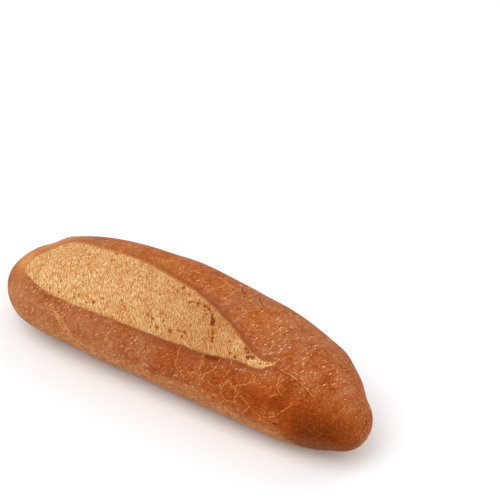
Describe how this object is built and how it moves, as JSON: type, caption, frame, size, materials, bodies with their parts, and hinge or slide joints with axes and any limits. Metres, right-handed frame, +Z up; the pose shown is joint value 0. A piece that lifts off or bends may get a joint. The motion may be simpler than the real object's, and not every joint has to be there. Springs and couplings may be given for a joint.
{
  "type": "mini baguette",
  "caption": "Small crusty white loaf, long and slightly bowed, with one long oven-opened cut of pale crumb along its top and a flat sole to lie on.",
  "frame": {"origin": "on the surface the loaf lies on, under the middle of its bounding box", "axes": "+X along the loaf towards its narrower, drawn-out end, +Y to its bulged side, +Z up out of the sole"},
  "size_m": [0.18, 0.0609, 0.0435],
  "materials": {
    "crust": "satin browned bread crust, golden to caramel, with fine pale specks",
    "crumb": "matte pale golden, fine torn pores"
  },
  "bodies": {
    "root": {"loaf": "crust"}
  },
  "joints": []
}
